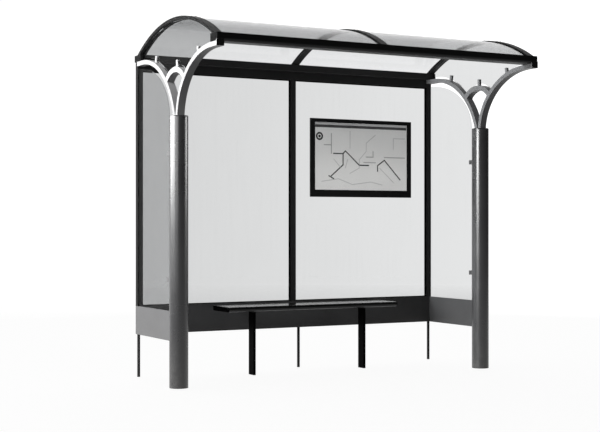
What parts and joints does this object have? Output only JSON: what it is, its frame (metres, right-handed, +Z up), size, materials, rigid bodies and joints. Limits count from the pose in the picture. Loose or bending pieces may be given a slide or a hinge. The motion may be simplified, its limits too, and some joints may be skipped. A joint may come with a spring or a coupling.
{
  "type": "bus shelter",
  "caption": "Bus shelter with a translucent vaulted roof on round columns with branching brackets, a glazed back and sides, a bench and a map case.",
  "frame": {"origin": "on the ground at the centre of the roof footprint", "axes": "+X along the length to the right as seen from the open front, +Y from the open front to the glazed rear wall, +Z up"},
  "size_m": [2.47, 1.314, 2.342],
  "materials": {
    "column_paint": "gloss",
    "branch_paint": "gloss",
    "frame_paint": "satin",
    "end_plate_paint": "satin",
    "roof_plastic": "gloss",
    "clear_glass": "gloss",
    "kick_paint": "satin",
    "leg_paint": "satin",
    "bench_paint": "gloss",
    "bench_leg_paint": "satin",
    "black_plastic": "matte",
    "map_frame_paint": "satin",
    "map_paper": "matte"
  },
  "bodies": {
    "root": {"column_left": "column_paint", "column_right": "column_paint", "column_caps": "column_paint", "rear_branch_left": "branch_paint", "rear_branch_right": "branch_paint", "front_branch_left": "branch_paint", "front_branch_right": "branch_paint", "branch_arch_left": "branch_paint", "branch_arch_right": "branch_paint", "branch_pegs_left": "branch_paint", "branch_pegs_right": "branch_paint", "front_beam": "frame_paint", "rear_beam": "frame_paint", "beam_end_plates": "end_plate_paint", "roof_rib_left": "frame_paint", "roof_rib_middle": "frame_paint", "roof_rib_right": "frame_paint", "rib_cap_left": "frame_paint", "rib_cap_middle": "frame_paint", "rib_cap_right": "frame_paint", "roof_sheet_left": "roof_plastic", "roof_sheet_right": "roof_plastic", "top_rail": "frame_paint", "rear_post_left": "frame_paint", "rear_post_middle": "frame_paint", "rear_post_right": "frame_paint", "rear_glass_left": "clear_glass", "rear_glass_right": "clear_glass", "side_glass_left": "clear_glass", "side_glass_right": "clear_glass", "rear_kick_panel": "kick_paint", "side_kick_panel_left": "kick_paint", "side_kick_panel_right": "kick_paint", "rear_leg_left": "leg_paint", "rear_leg_middle": "leg_paint", "rear_leg_right": "leg_paint", "gable_glass": "clear_glass", "glass_clamps": "branch_paint", "bench_seat": "bench_paint", "seat_end_caps": "black_plastic", "bench_legs": "bench_leg_paint", "bench_brackets": "frame_paint", "map_frame": "map_frame_paint", "map_sheet": "map_paper", "map_glazing": "clear_glass"}
  },
  "joints": []
}
